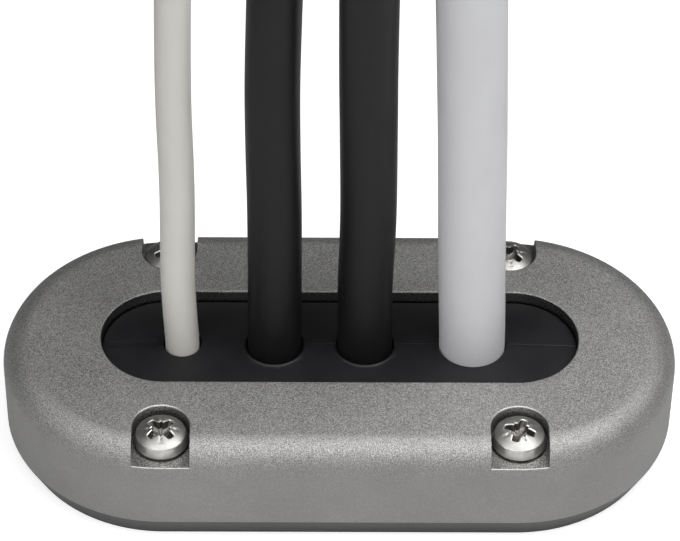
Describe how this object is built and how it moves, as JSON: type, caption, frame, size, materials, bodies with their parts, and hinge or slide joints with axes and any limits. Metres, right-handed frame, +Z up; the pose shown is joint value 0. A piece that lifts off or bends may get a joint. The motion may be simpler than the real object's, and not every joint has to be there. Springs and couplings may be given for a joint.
{
  "type": "cable deck seal",
  "caption": "Stadium-shaped metal cover screwed to a deck over a split rubber insert that grips and seals round cables.",
  "frame": {"origin": "centre of the underside, on the deck", "axes": "+X along the cover's length, +Z up out of the deck, -Y towards the front screws"},
  "size_m": [0.127, 0.0612, 0.1134],
  "materials": {
    "cover": "fine bead-blasted and anodised, satin grey",
    "insert": "smooth moulded rubber, dull black",
    "screws": "polished stainless steel",
    "jacket_black": "extruded jacket, satin black",
    "jacket_warm_white": "extruded jacket, satin warm white",
    "jacket_cool_white": "extruded jacket, satin cool white"
  },
  "bodies": {
    "root": {"cover": "cover", "seal_front": "insert", "seal_rear": "insert", "screw_front_left": "screws", "screw_front_right": "screws", "screw_rear_left": "screws", "screw_rear_right": "screws", "cable_thin_white": "jacket_warm_white", "cable_black_left": "jacket_black", "cable_black_right": "jacket_black", "cable_thick_white": "jacket_cool_white"}
  },
  "joints": []
}
